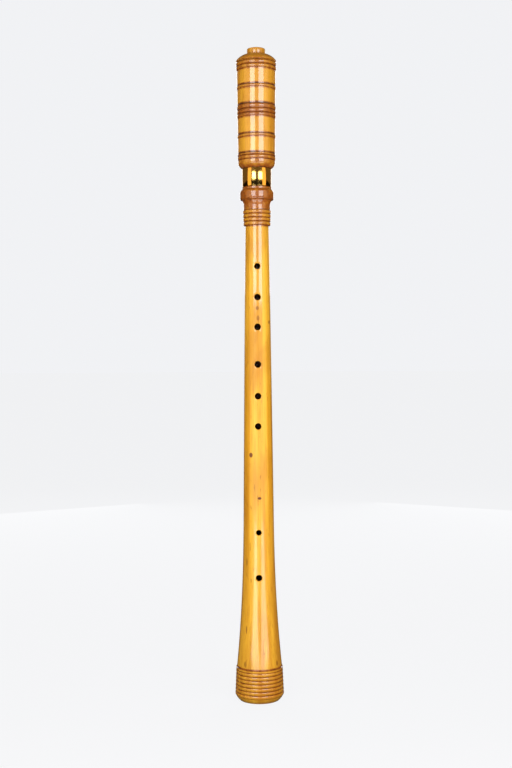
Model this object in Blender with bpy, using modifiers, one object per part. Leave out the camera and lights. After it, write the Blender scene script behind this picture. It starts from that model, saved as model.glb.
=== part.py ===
"""Rauschpfeife: a turned wooden windcap reed pipe, standing on its bell.

Metres, +Z up along the pipe's axis from the foot of the bell. The finger holes face -Y.
Each turned piece is a closed profile spun by a Screw modifier. Heights are stacked from the
foot upwards and radii from the outside inwards, so each size below can be changed by itself.
"""

import math

import bmesh
import bpy
from mathutils import Matrix

# Fits
SEAT_GAP = 0.0003

# Bell, from the foot up
FOOT_RADIUS = 0.0184
FOOT_WIDTH = 0.0022
MOUTH_CHAMFER = 0.0006
LIP_RADIUS = 0.0219
LIP_HEIGHT = 0.0047
LIP_BULGE = 0.0004
BELL_RING_COUNT = 7
BELL_RING_PITCH = 0.00335
BELL_RING_LOW_RADIUS = 0.0225
BELL_RING_HIGH_RADIUS = 0.0215
BELL_RING_RISE = 0.0007
BELL_BAND_HEIGHT = 0.0023
BELL_BAND_STEP = 0.0006
BELL_BAND_EDGE = 0.0003

# Pipe between the bell and the neck rings
BELL_NECK_RADIUS = 0.0208
WAIST_RADIUS = 0.0140
WAIST_RISE = 0.1350
BODY_TOP_RADIUS = 0.0108
BODY_LENGTH = 0.4061
BODY_STATIONS = 12
CONE_CURVE = 0.9
FLARE_CURVE = 2.3

# Neck rings, neck and collar
NECK_RING_COUNT = 4
NECK_RING_PITCH = 0.00358
NECK_RING_LOW_RADIUS = 0.0126
NECK_RING_HIGH_RADIUS = 0.0131
NECK_RING_RISE = 0.0009
NECK_RADIUS = 0.01225
NECK_LENGTH = 0.0039
COVE_RADIUS = 0.0139
COVE_HEIGHT = 0.0053
COLLAR_RADIUS = 0.0156
COLLAR_UNDERSIDE_RADIUS = 0.0144
COLLAR_EDGE_HEIGHT = 0.0024
COLLAR_FACE_HEIGHT = 0.0045
COLLAR_TOP_HEIGHT = 0.0031
COLLAR_FILLET_HEIGHT = 0.0018
COLLAR_FILLET_RADIUS = 0.0135

# Brass ferrule and the tenon inside it
FERRULE_LENGTH = 0.0167
FERRULE_LOW_RADIUS = 0.01325
FERRULE_HIGH_RADIUS = 0.01355
FERRULE_WALL = 0.0007
TAIL_WALL = 0.0015
TAIL_STOP = 0.0006
TENON_LENGTH = 0.0220
TENON_END_LENGTH = 0.0035
TENON_CHAMFER = 0.0008
LAPPING_THICKNESS = 0.0009
LAPPING_TURNS = 6
LAPPING_RIB = 0.0002

# Windcap barrel, from its rim up
BARREL_RIM_RADIUS = 0.0172
BARREL_RIM_SLOPE_HEIGHT = 0.0048
BARREL_RIM_FACE_HEIGHT = 0.0026
BARREL_FOOT_RADIUS = 0.0171
BARREL_TOP_RADIUS = 0.0180
BARREL_WALL = 0.0051
BEAD_RISE = 0.00045
BEAD_GROOVE = 0.00035
THIN_BEAD_HEIGHT = 0.0028
RIM_BEAD_HEIGHTS = (0.0038, 0.0020)
LOW_PLAIN_LENGTH = 0.0147
LOW_MIDDLE_PLAIN_LENGTH = 0.0155
MIDDLE_BEAD_HEIGHTS = (0.0035, 0.0038, 0.0045)
HIGH_MIDDLE_PLAIN_LENGTH = 0.0148
HIGH_PLAIN_LENGTH = 0.0146
TOP_BEAD_HEIGHTS = (0.0038, 0.0036)
TOP_BEAD_RISE = 0.0007
CHAMBER_FLOOR_RISE = 0.0020
CHAMBER_CHAMFER = 0.0020

# Windcap head
SPIGOT_LENGTH = 0.0120
SHOULDER_RADIUS = 0.01865
SHOULDER_EDGE_HEIGHT = 0.0010
SHOULDER_HEIGHT = 0.0067
NOZZLE_RADIUS = 0.0085
NOZZLE_HEIGHT = 0.0052
NOZZLE_EDGE = 0.0009
BLOW_HOLE_RADIUS = 0.0040
BLOW_HOLE_EDGE = 0.0008
SPIGOT_FUNNEL_RADIUS = 0.0080
SPIGOT_FUNNEL_DEPTH = 0.0060
SHOULDER_CURVE = 1.5

# Bore
BORE_TOP_RADIUS = 0.0026
BORE_WAIST_RADIUS = 0.0091
BORE_CURVE = 1.7
BORE_STATIONS = 7

# Finger holes, drilled in the front, each given by its drop from the one above and its diameter.
# The first drop is from the top of the body. The last two are the vent holes.
HOLE_DROPS = (0.0381, 0.0283, 0.0273, 0.0343, 0.0291, 0.0276, 0.0970, 0.0412)
HOLE_DIAMETERS = (0.0054, 0.0058, 0.0060, 0.0060, 0.0059, 0.0059, 0.0050, 0.0057)
THUMB_HOLE_DROP = 0.0261
THUMB_HOLE_DIAMETER = 0.0056
HOLE_EDGE = 0.0004
CUTTER_OVERSHOOT = 0.0020

# Reed
WELL_RADIUS = 0.0050
WELL_DEPTH = 0.0160
CORK_LENGTH = 0.0175
STAPLE_LENGTH = 0.0420
STAPLE_FOOT_RADIUS = 0.0031
STAPLE_TOP_RADIUS = 0.0022
STAPLE_WALL = 0.0005
BLADE_LENGTH = 0.0400
BLADE_OVERLAP = 0.0150
BLADE_THICKNESS = 0.0007
BLADE_TIP_SHARE = 0.45
BLADE_TIP_WIDTH = 0.0100
BLADE_TIP_OPENING = 0.0016
BLADE_EDGE_GAP = 0.0004
BINDING_LENGTH = 0.0130
BINDING_THICKNESS = 0.0008
BINDING_TURNS = 6
BINDING_RIB = 0.0003
WIRE_DIAMETER = 0.0007
WIRE_RISE = 0.0030

# Facets
TURN_STEPS = 32
FINE_STEPS = 20
HOLE_STEPS = 16
BEAD_STEPS = 4
CORNER_STEPS = 4
BLADE_ROWS = 8
BLADE_COLUMNS = 8
BLADE_HALF_ANGLE = math.radians(86)
MERGE_DISTANCE = 0.000001

# Heights worked out from the sizes above
BELL_TOP_Z = LIP_HEIGHT + BELL_RING_COUNT * BELL_RING_PITCH + BELL_BAND_HEIGHT
WAIST_Z = BELL_TOP_Z + WAIST_RISE
BODY_TOP_Z = BELL_TOP_Z + BODY_LENGTH
NECK_Z = BODY_TOP_Z + NECK_RING_COUNT * NECK_RING_PITCH
COLLAR_Z = NECK_Z + NECK_LENGTH + COVE_HEIGHT
COLLAR_FACE_Z = COLLAR_Z + COLLAR_EDGE_HEIGHT
COLLAR_SHOULDER_Z = COLLAR_FACE_Z + COLLAR_FACE_HEIGHT
SEAT_Z = COLLAR_SHOULDER_Z + COLLAR_TOP_HEIGHT + COLLAR_FILLET_HEIGHT
TENON_TOP_Z = SEAT_Z + TENON_LENGTH
WELL_FLOOR_Z = TENON_TOP_Z - WELL_DEPTH
CAP_Z = SEAT_Z + SEAT_GAP
FERRULE_TOP_Z = CAP_Z + FERRULE_LENGTH
RIM_Z = FERRULE_TOP_Z + SEAT_GAP
LOW_BEADS_Z = RIM_Z + BARREL_RIM_SLOPE_HEIGHT + BARREL_RIM_FACE_HEIGHT
LOW_THIN_BEAD_Z = LOW_BEADS_Z + sum(RIM_BEAD_HEIGHTS) + LOW_PLAIN_LENGTH
MIDDLE_BEADS_Z = LOW_THIN_BEAD_Z + THIN_BEAD_HEIGHT + LOW_MIDDLE_PLAIN_LENGTH
HIGH_THIN_BEAD_Z = MIDDLE_BEADS_Z + sum(MIDDLE_BEAD_HEIGHTS) + HIGH_MIDDLE_PLAIN_LENGTH
TOP_BEADS_Z = HIGH_THIN_BEAD_Z + THIN_BEAD_HEIGHT + HIGH_PLAIN_LENGTH
BARREL_TOP_Z = TOP_BEADS_Z + sum(TOP_BEAD_HEIGHTS)
HEAD_Z = BARREL_TOP_Z + SEAT_GAP
STAPLE_Z = WELL_FLOOR_Z + SEAT_GAP
BLADE_ROOT_Z = STAPLE_Z + STAPLE_LENGTH - BLADE_OVERLAP
BINDING_Z = BLADE_ROOT_Z + SEAT_GAP
BINDING_TOP_Z = BINDING_Z + BINDING_LENGTH

# Radii worked out from the sizes above
MOUTH_RADIUS = FOOT_RADIUS - FOOT_WIDTH
FERRULE_BORE_RADIUS = FERRULE_LOW_RADIUS - FERRULE_WALL
TAIL_RADIUS = FERRULE_BORE_RADIUS - SEAT_GAP
SOCKET_RADIUS = TAIL_RADIUS - TAIL_WALL
LAPPING_RADIUS = SOCKET_RADIUS - SEAT_GAP
TENON_RADIUS = LAPPING_RADIUS - LAPPING_RIB
RECESS_RADIUS = LAPPING_RADIUS - LAPPING_THICKNESS - SEAT_GAP
CHAMBER_RADIUS = BARREL_FOOT_RADIUS - BARREL_WALL
SPIGOT_RADIUS = CHAMBER_RADIUS - SEAT_GAP

# Colours, as linear red, green and blue
HONEY_WOOD = (0.80, 0.43, 0.085)
POLISHED_BRASS = (0.83, 0.62, 0.24)
WAXED_THREAD = (0.35, 0.05, 0.03)
REED_THREAD = (0.16, 0.03, 0.02)
NATURAL_CORK = (0.50, 0.30, 0.14)
REED_CANE = (0.76, 0.58, 0.24)


def blend(start, end, share):
    return start + (end - start) * share


def bead(low_z, height, low_radius, high_radius, rise):
    """Points up a half-round bead, from the groove under it to the groove over it."""
    points = []
    for step in range(BEAD_STEPS + 1):
        angle = math.pi * step / BEAD_STEPS
        share = (1 - math.cos(angle)) / 2
        ground = blend(low_radius, high_radius, share)
        points.append((ground + rise * math.sin(angle), low_z + height * share))
    return points


def soft_corner(low_radius, low_z, high_radius, high_z):
    """Points over a rounded shoulder that starts upright and ends nearly level."""
    points = []
    for step in range(CORNER_STEPS + 1):
        angle = math.pi / 2 * step / CORNER_STEPS
        out = math.cos(angle) ** (2 / SHOULDER_CURVE)
        up = math.sin(angle) ** (2 / SHOULDER_CURVE)
        points.append((blend(high_radius, low_radius, out), blend(low_z, high_z, up)))
    return points


def body_radius(z):
    """Outside of the pipe between the bell band and the neck rings."""
    cone = BODY_TOP_RADIUS
    cone_growth = WAIST_RADIUS - BODY_TOP_RADIUS
    cone_length = BODY_TOP_Z - WAIST_Z
    cone += cone_growth * ((BODY_TOP_Z - z) / cone_length) ** CONE_CURVE
    if z >= WAIST_Z:
        return cone
    foot_cone = BODY_TOP_RADIUS + cone_growth * (BODY_LENGTH / cone_length) ** CONE_CURVE
    flare = (BELL_NECK_RADIUS - foot_cone) * ((WAIST_Z - z) / WAIST_RISE) ** FLARE_CURVE
    return cone + flare


def bore_radius(z):
    """Inside of the pipe: a straight cone down to the waist, then the bell's flare."""
    if z >= WAIST_Z:
        return blend(BORE_WAIST_RADIUS, BORE_TOP_RADIUS, (z - WAIST_Z) / (WELL_FLOOR_Z - WAIST_Z))
    return blend(BORE_WAIST_RADIUS, MOUTH_RADIUS, ((WAIST_Z - z) / WAIST_Z) ** BORE_CURVE)


def barrel_radius(z):
    """Outside of the windcap barrel between its beads."""
    return blend(BARREL_FOOT_RADIUS, BARREL_TOP_RADIUS, (z - RIM_Z) / (BARREL_TOP_Z - RIM_Z))


def staple_radius(z):
    return blend(STAPLE_FOOT_RADIUS, STAPLE_TOP_RADIUS, (z - STAPLE_Z) / STAPLE_LENGTH)


def bead_group(z, heights, rise, groove):
    """Beads that follow the barrel's taper, with their grooves sunk into the barrel."""
    points = []
    for height in heights:
        low = barrel_radius(z) - groove
        high = barrel_radius(z + height) - groove
        points += bead(z, height, low, high, rise + groove)
        z += height
    return points


def ribbed_wrap(low_z, length, turns, radius, rib):
    """Outside of a tight winding, as the turns show along its length."""
    pitch = length / turns
    points = [(radius - rib, low_z)]
    for turn in range(turns):
        points.append((radius, low_z + (turn + 0.5) * pitch))
        points.append((radius - rib, low_z + (turn + 1) * pitch))
    return points


def pipe_outline():
    """Outside of the pipe, from the foot of the bell up to the top of the tenon."""
    points = []
    for step in range(CORNER_STEPS + 1):
        share = step / CORNER_STEPS
        bulge = LIP_BULGE * math.sin(math.pi * share)
        points.append((blend(FOOT_RADIUS, LIP_RADIUS, share) + bulge, LIP_HEIGHT * share))
    for ring in range(BELL_RING_COUNT):
        low = blend(BELL_RING_LOW_RADIUS, BELL_RING_HIGH_RADIUS, ring / BELL_RING_COUNT)
        high = blend(BELL_RING_LOW_RADIUS, BELL_RING_HIGH_RADIUS, (ring + 1) / BELL_RING_COUNT)
        low_z = LIP_HEIGHT + ring * BELL_RING_PITCH
        points += bead(low_z, BELL_RING_PITCH, low - BELL_RING_RISE, high - BELL_RING_RISE, BELL_RING_RISE)
    band_radius = BELL_NECK_RADIUS + BELL_BAND_STEP
    points.append((band_radius, BELL_TOP_Z - BELL_BAND_HEIGHT))
    points.append((band_radius, BELL_TOP_Z - BELL_BAND_EDGE))
    for station in range(BODY_STATIONS + 1):
        z = BELL_TOP_Z + BODY_LENGTH * (station / BODY_STATIONS) ** CONE_CURVE
        points.append((body_radius(z), z))
    for ring in range(NECK_RING_COUNT):
        low = blend(NECK_RING_LOW_RADIUS, NECK_RING_HIGH_RADIUS, ring / NECK_RING_COUNT)
        high = blend(NECK_RING_LOW_RADIUS, NECK_RING_HIGH_RADIUS, (ring + 1) / NECK_RING_COUNT)
        low_z = BODY_TOP_Z + ring * NECK_RING_PITCH
        points += bead(low_z, NECK_RING_PITCH, low - NECK_RING_RISE, high - NECK_RING_RISE, NECK_RING_RISE)
    points.append((NECK_RADIUS, NECK_Z))
    for step in range(CORNER_STEPS + 1):
        share = step / CORNER_STEPS
        radius = blend(NECK_RADIUS, COVE_RADIUS, share**2)
        points.append((radius, NECK_Z + NECK_LENGTH + COVE_HEIGHT * share))
    for step in range(CORNER_STEPS):
        angle = math.pi / 2 * step / (CORNER_STEPS - 1)
        radius = blend(COLLAR_UNDERSIDE_RADIUS, COLLAR_RADIUS, math.sin(angle))
        points.append((radius, blend(COLLAR_FACE_Z, COLLAR_Z, math.cos(angle))))
    shoulder_top_z = COLLAR_SHOULDER_Z + COLLAR_TOP_HEIGHT
    points += soft_corner(COLLAR_RADIUS, COLLAR_SHOULDER_Z, COLLAR_FILLET_RADIUS, shoulder_top_z)
    points.append((COLLAR_FILLET_RADIUS, SEAT_Z))
    points.append((TENON_RADIUS, SEAT_Z))
    points.append((TENON_RADIUS, SEAT_Z + TENON_END_LENGTH))
    points.append((RECESS_RADIUS, SEAT_Z + TENON_END_LENGTH))
    points.append((RECESS_RADIUS, TENON_TOP_Z - TENON_END_LENGTH))
    points.append((TENON_RADIUS, TENON_TOP_Z - TENON_END_LENGTH))
    points.append((TENON_RADIUS, TENON_TOP_Z - TENON_CHAMFER))
    points.append((TENON_RADIUS - TENON_CHAMFER, TENON_TOP_Z))
    return points


def pipe_bore():
    """Inside of the pipe, from the mouth of the bell up through the reed well."""
    points = [(MOUTH_RADIUS + MOUTH_CHAMFER, 0.0)]
    for station in range(BORE_STATIONS + 1):
        z = blend(MOUTH_CHAMFER, WAIST_Z, station / BORE_STATIONS)
        points.append((bore_radius(z), z))
    points.append((BORE_TOP_RADIUS, WELL_FLOOR_Z))
    points.append((WELL_RADIUS, WELL_FLOOR_Z))
    points.append((WELL_RADIUS, TENON_TOP_Z))
    return points


def barrel_outline():
    """Outside of the windcap barrel, from the end of its tail up to the head joint."""
    face_z = RIM_Z + BARREL_RIM_SLOPE_HEIGHT
    points = [(TAIL_RADIUS, CAP_Z + TAIL_STOP), (TAIL_RADIUS, RIM_Z)]
    for step in range(CORNER_STEPS + 1):
        share = step / CORNER_STEPS
        radius = blend(FERRULE_HIGH_RADIUS, BARREL_RIM_RADIUS, math.sin(math.pi / 2 * share))
        points.append((radius, blend(RIM_Z, face_z, share)))
    points.append((BARREL_RIM_RADIUS, LOW_BEADS_Z - BEAD_GROOVE))
    points += bead_group(LOW_BEADS_Z, RIM_BEAD_HEIGHTS, BEAD_RISE, BEAD_GROOVE)
    points += bead_group(LOW_THIN_BEAD_Z, (THIN_BEAD_HEIGHT,), BEAD_RISE, 0.0)
    points += bead_group(MIDDLE_BEADS_Z, MIDDLE_BEAD_HEIGHTS, BEAD_RISE, BEAD_GROOVE)
    points += bead_group(HIGH_THIN_BEAD_Z, (THIN_BEAD_HEIGHT,), BEAD_RISE, 0.0)
    points += bead_group(TOP_BEADS_Z, TOP_BEAD_HEIGHTS, TOP_BEAD_RISE, BEAD_GROOVE)
    return points


def barrel_bore():
    """Inside of the windcap barrel: the socket for the tenon and the reed chamber over it."""
    chamber_z = TENON_TOP_Z + CHAMBER_FLOOR_RISE
    return [
        (SOCKET_RADIUS, CAP_Z + TAIL_STOP),
        (SOCKET_RADIUS, chamber_z),
        (CHAMBER_RADIUS, chamber_z + CHAMBER_CHAMFER),
        (CHAMBER_RADIUS, BARREL_TOP_Z),
    ]


def head_outline():
    """Outside of the windcap head, from the end of its spigot up to the nozzle's rim."""
    edge_z = HEAD_Z + SHOULDER_EDGE_HEIGHT
    nozzle_z = edge_z + SHOULDER_HEIGHT
    top_z = nozzle_z + NOZZLE_HEIGHT
    points = [
        (SPIGOT_RADIUS, HEAD_Z - SPIGOT_LENGTH),
        (SPIGOT_RADIUS, HEAD_Z),
        (BARREL_TOP_RADIUS - BEAD_GROOVE, HEAD_Z),
    ]
    points += soft_corner(SHOULDER_RADIUS, edge_z, NOZZLE_RADIUS, nozzle_z)
    for step in range(3):
        angle = math.pi / 2 * step / 2
        radius = NOZZLE_RADIUS - NOZZLE_EDGE * (1 - math.cos(angle))
        points.append((radius, top_z - NOZZLE_EDGE * (1 - math.sin(angle))))
    return points


def head_bore():
    """The blow hole, from its funnel in the spigot up to the nozzle's rim."""
    spigot_z = HEAD_Z - SPIGOT_LENGTH
    top_z = HEAD_Z + SHOULDER_EDGE_HEIGHT + SHOULDER_HEIGHT + NOZZLE_HEIGHT
    return [
        (SPIGOT_FUNNEL_RADIUS, spigot_z),
        (BLOW_HOLE_RADIUS, spigot_z + SPIGOT_FUNNEL_DEPTH),
        (BLOW_HOLE_RADIUS, top_z - BLOW_HOLE_EDGE),
        (BLOW_HOLE_RADIUS + BLOW_HOLE_EDGE, top_z),
    ]


def clear_scene():
    for obj in list(bpy.data.objects):
        bpy.data.objects.remove(obj, do_unlink=True)


def make_material(name, colour, roughness, metallic=0.0):
    material = bpy.data.materials.new(name)
    material.use_nodes = True
    shader = material.node_tree.nodes["Principled BSDF"]
    shader.inputs["Base Color"].default_value = (*colour, 1.0)
    shader.inputs["Roughness"].default_value = roughness
    shader.inputs["Metallic"].default_value = metallic
    return material


def make_collection(name):
    collection = bpy.data.collections.new(name)
    bpy.context.scene.collection.children.link(collection)
    return collection


def add_object(name, data, collection, parent=None):
    obj = bpy.data.objects.new(name, data)
    collection.objects.link(obj)
    if parent is not None:
        obj.parent = parent
        obj.matrix_parent_inverse = Matrix.Translation(-parent.location)
    return obj


def add_screw(obj, steps):
    """Spin the object's profile once round its Z axis."""
    screw = obj.modifiers.new("turn", "SCREW")
    screw.axis = "Z"
    screw.angle = 2 * math.pi
    screw.steps = steps
    screw.render_steps = steps
    screw.use_merge_vertices = True
    screw.merge_threshold = MERGE_DISTANCE
    screw.use_smooth_shade = True


def turned(name, outline, bore, steps, material, collection, parent=None):
    """A hollow turned piece from its outline and its bore, both listed from the bottom up."""
    loop = []
    for point in list(reversed(outline)) + bore:
        if not loop or math.dist(point, loop[-1]) > MERGE_DISTANCE:
            loop.append(point)
    mesh = bpy.data.meshes.new(name)
    edges = [(i, (i + 1) % len(loop)) for i in range(len(loop))]
    mesh.from_pydata([(radius, 0.0, z) for radius, z in loop], edges, [])
    mesh.materials.append(material)
    obj = add_object(name, mesh, collection, parent)
    add_screw(obj, steps)
    return obj


def hole_cutter(name, z, diameter, front, collection):
    """A drill from the bore out through the wall, with a flare that softens the hole's edge."""
    surface = body_radius(z)
    radius = diameter / 2
    end = surface + CUTTER_OVERSHOOT
    profile = [
        (0.0, end),
        (radius + HOLE_EDGE + CUTTER_OVERSHOOT, end),
        (radius, surface - HOLE_EDGE),
        (radius, 0.0),
        (0.0, 0.0),
    ]
    mesh = bpy.data.meshes.new(name)
    edges = [(i, i + 1) for i in range(len(profile) - 1)]
    mesh.from_pydata([(x, 0.0, height) for x, height in profile], edges, [])
    cutter = add_object(name, mesh, collection)
    add_screw(cutter, HOLE_STEPS)
    cutter.location = (0.0, 0.0, z)
    cutter.rotation_euler = (math.pi / 2 if front else -math.pi / 2, 0.0, 0.0)
    cutter.hide_render = True
    cutter.display_type = "WIRE"
    return cutter


def drill(obj, cutter):
    cut = obj.modifiers.new(cutter.name, "BOOLEAN")
    cut.operation = "DIFFERENCE"
    cut.solver = "EXACT"
    cut.object = cutter


def make_pipe(material, collection, cutters):
    pipe = turned("pipe_body", pipe_outline(), pipe_bore(), TURN_STEPS, material, collection)
    z = BODY_TOP_Z
    for number, (drop, diameter) in enumerate(zip(HOLE_DROPS, HOLE_DIAMETERS), start=1):
        z -= drop
        drill(pipe, hole_cutter(f"cut_hole_{number}", z, diameter, True, cutters))
    thumb_z = BODY_TOP_Z - THUMB_HOLE_DROP
    drill(pipe, hole_cutter("cut_thumb_hole", thumb_z, THUMB_HOLE_DIAMETER, False, cutters))


def make_lapping(material, collection):
    low_z = SEAT_Z + TENON_END_LENGTH + SEAT_GAP
    length = TENON_LENGTH - 2 * TENON_END_LENGTH - 2 * SEAT_GAP
    outline = ribbed_wrap(low_z, length, LAPPING_TURNS, LAPPING_RADIUS, LAPPING_RIB)
    inner = LAPPING_RADIUS - LAPPING_THICKNESS
    bore = [(inner, low_z), (inner, low_z + length)]
    turned("tenon_lapping", outline, bore, TURN_STEPS, material, collection)


def make_windcap(wood, brass, collection, slide):
    turned("windcap_barrel", barrel_outline(), barrel_bore(), TURN_STEPS, wood, collection, slide)
    turned("windcap_head", head_outline(), head_bore(), TURN_STEPS, wood, collection, slide)
    outline = [(FERRULE_LOW_RADIUS, CAP_Z), (FERRULE_HIGH_RADIUS, FERRULE_TOP_Z)]
    bore = [(FERRULE_BORE_RADIUS, CAP_Z), (FERRULE_BORE_RADIUS, FERRULE_TOP_Z)]
    turned("windcap_ferrule", outline, bore, TURN_STEPS, brass, collection, slide)


def make_staple(brass, cork, collection, slide):
    top_z = STAPLE_Z + STAPLE_LENGTH
    outline = [(STAPLE_FOOT_RADIUS, STAPLE_Z), (STAPLE_TOP_RADIUS, top_z)]
    bore = [(STAPLE_FOOT_RADIUS - STAPLE_WALL, STAPLE_Z), (STAPLE_TOP_RADIUS - STAPLE_WALL, top_z)]
    turned("reed_staple", outline, bore, FINE_STEPS, brass, collection, slide)
    cork_radius = WELL_RADIUS - SEAT_GAP
    cork_top_z = STAPLE_Z + CORK_LENGTH
    outline = [(cork_radius, STAPLE_Z), (cork_radius, cork_top_z)]
    bore = [(staple_radius(z) + SEAT_GAP, z) for z in (STAPLE_Z, cork_top_z)]
    turned("staple_cork", outline, bore, FINE_STEPS, cork, collection, slide)


def blade_section(z):
    """Half width, inner depth and edge depth of one blade's hollow at a height."""
    root = staple_radius(BLADE_ROOT_Z) + SEAT_GAP
    tip_z = BLADE_ROOT_Z + BLADE_LENGTH
    rise = max(0.0, (z - BINDING_TOP_Z) / (tip_z - BINDING_TOP_Z))
    flat = rise * rise * (3 - 2 * rise)
    width = blend(root * math.sin(BLADE_HALF_ANGLE), BLADE_TIP_WIDTH / 2, flat)
    depth = blend(root, BLADE_TIP_OPENING / 2, flat)
    edge = blend(root * math.cos(BLADE_HALF_ANGLE), BLADE_EDGE_GAP, flat)
    return width, depth, edge


def make_blade(name, side, material, collection, slide):
    """One blade: round at the root where it grips the staple, wide and nearly flat at the tip."""
    shape = bmesh.new()
    rows = []
    for row in range(BLADE_ROWS + 1):
        z = BLADE_ROOT_Z + BLADE_LENGTH * row / BLADE_ROWS
        width, depth, edge = blade_section(z)
        line = []
        for column in range(BLADE_COLUMNS + 1):
            angle = blend(-BLADE_HALF_ANGLE, BLADE_HALF_ANGLE, column / BLADE_COLUMNS)
            x = width * math.sin(angle) / math.sin(BLADE_HALF_ANGLE)
            crown = (math.cos(angle) - math.cos(BLADE_HALF_ANGLE)) / (1 - math.cos(BLADE_HALF_ANGLE))
            line.append(shape.verts.new((x, side * blend(edge, depth, crown), z)))
        rows.append(line)
    for low, high in zip(rows, rows[1:]):
        for column in range(BLADE_COLUMNS):
            corners = [low[column], low[column + 1], high[column + 1], high[column]]
            if side > 0:
                corners.reverse()
            shape.faces.new(corners)
    mesh = bpy.data.meshes.new(name)
    shape.to_mesh(mesh)
    shape.free()
    mesh.materials.append(material)
    mesh.shade_smooth()
    blade = add_object(name, mesh, collection, slide)
    scrape = blade.vertex_groups.new(name="scrape")
    for row in range(BLADE_ROWS + 1):
        first = row * (BLADE_COLUMNS + 1)
        share = row / BLADE_ROWS
        scrape.add(range(first, first + BLADE_COLUMNS + 1), blend(1.0, BLADE_TIP_SHARE, share**2), "REPLACE")
    shell = blade.modifiers.new("thickness", "SOLIDIFY")
    shell.thickness = BLADE_THICKNESS
    shell.offset = 1.0
    shell.use_even_offset = True
    shell.vertex_group = scrape.name


def make_binding(material, collection, slide):
    inner = staple_radius(BLADE_ROOT_Z) + SEAT_GAP + BLADE_THICKNESS + SEAT_GAP
    outer = inner + BINDING_THICKNESS
    outline = ribbed_wrap(BINDING_Z, BINDING_LENGTH, BINDING_TURNS, outer, BINDING_RIB)
    bore = [(inner, BINDING_Z), (inner, BINDING_TOP_Z)]
    turned("reed_binding", outline, bore, FINE_STEPS, material, collection, slide)


def make_wire(material, collection, slide):
    """A closed loop of wire that follows the blades' oval just over the binding."""
    z = BINDING_TOP_Z + WIRE_RISE
    width, depth, _ = blade_section(z)
    reach = BLADE_THICKNESS + SEAT_GAP + WIRE_DIAMETER / 2
    curve = bpy.data.curves.new("reed_wire", "CURVE")
    curve.dimensions = "3D"
    curve.bevel_depth = WIRE_DIAMETER / 2
    curve.bevel_resolution = 1
    curve.render_resolution_u = 0
    spline = curve.splines.new("POLY")
    spline.points.add(FINE_STEPS - 1)
    for step, point in enumerate(spline.points):
        angle = 2 * math.pi * step / FINE_STEPS
        point.co = ((width + reach) * math.cos(angle), (depth + reach) * math.sin(angle), z, 1.0)
    spline.use_cyclic_u = True
    curve.materials.append(material)
    add_object("reed_wire", curve, collection, slide)


def make_slide(name, z, collection):
    """An empty on the pipe's axis that carries the pieces of one sliding body."""
    slide = add_object(name, None, collection)
    slide.location = (0.0, 0.0, z)
    return slide


def main():
    clear_scene()
    parts = make_collection("Rauschpfeife")
    cutters = make_collection("Cutters")
    wood = make_material("honey_wood", HONEY_WOOD, 0.25)
    brass = make_material("polished_brass", POLISHED_BRASS, 0.12, 1.0)
    lapping = make_material("waxed_thread", WAXED_THREAD, 0.8)
    thread = make_material("reed_thread", REED_THREAD, 0.8)
    cork = make_material("natural_cork", NATURAL_CORK, 0.9)
    cane = make_material("reed_cane", REED_CANE, 0.55)
    windcap_slide = make_slide("windcap_slide", CAP_Z, parts)
    reed_slide = make_slide("reed_slide", STAPLE_Z, parts)
    make_pipe(wood, parts, cutters)
    make_lapping(lapping, parts)
    make_windcap(wood, brass, parts, windcap_slide)
    make_staple(brass, cork, parts, reed_slide)
    make_blade("reed_blade_front", -1, cane, parts, reed_slide)
    make_blade("reed_blade_back", 1, cane, parts, reed_slide)
    make_binding(thread, parts, reed_slide)
    make_wire(brass, parts, reed_slide)


main()
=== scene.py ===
"""Looks of a rauschpfeife: a turned wooden windcap reed pipe that stands on its bell.

Metres, +Z up along the pipe's axis, finger holes facing -Y. The turned pieces are spun finely from
the CAD model's own sizes, and their wood, brass, thread, cork and cane are node materials.
"""

import math

import bmesh
import bpy
import numpy as np
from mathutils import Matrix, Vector


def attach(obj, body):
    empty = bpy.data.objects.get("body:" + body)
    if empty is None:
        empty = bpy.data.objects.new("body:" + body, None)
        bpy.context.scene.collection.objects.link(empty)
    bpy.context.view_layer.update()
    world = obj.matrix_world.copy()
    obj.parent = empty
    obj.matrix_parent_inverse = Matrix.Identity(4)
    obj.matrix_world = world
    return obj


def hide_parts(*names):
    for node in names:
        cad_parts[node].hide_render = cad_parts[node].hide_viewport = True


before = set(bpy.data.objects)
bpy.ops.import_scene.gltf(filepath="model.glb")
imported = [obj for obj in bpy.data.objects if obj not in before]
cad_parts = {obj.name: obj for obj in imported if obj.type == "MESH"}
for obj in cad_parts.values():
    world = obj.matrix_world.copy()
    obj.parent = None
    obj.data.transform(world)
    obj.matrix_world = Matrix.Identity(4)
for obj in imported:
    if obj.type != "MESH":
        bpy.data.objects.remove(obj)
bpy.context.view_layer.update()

# Camera, from the photograph's perspective
IMAGE_HEIGHT = 768
FOCAL_PIXELS = 1162
SENSOR = 36.0
CAMERA_DISTANCE = 1.074
HORIZON_HEIGHT = 0.3127
HORIZON_SHIFT = -24 / IMAGE_HEIGHT
SIDE_SHIFT = -1.8 / IMAGE_HEIGHT
CAMERA_ROLL = math.radians(0.33)

# Beads of the windcap's barrel: heights, rise, and depth of the grooves beside them
LOW_BEADS = (0.0038, 0.0020)
MIDDLE_BEADS = (0.0035, 0.0038, 0.0045)
TOP_BEADS = (0.0038, 0.0036)
THIN_BEAD = (0.0028,)
BEAD_RISE = 0.00045
TOP_BEAD_RISE = 0.0007
GROOVE = 0.00035
THIN_GROOVE = 0.00012

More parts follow.
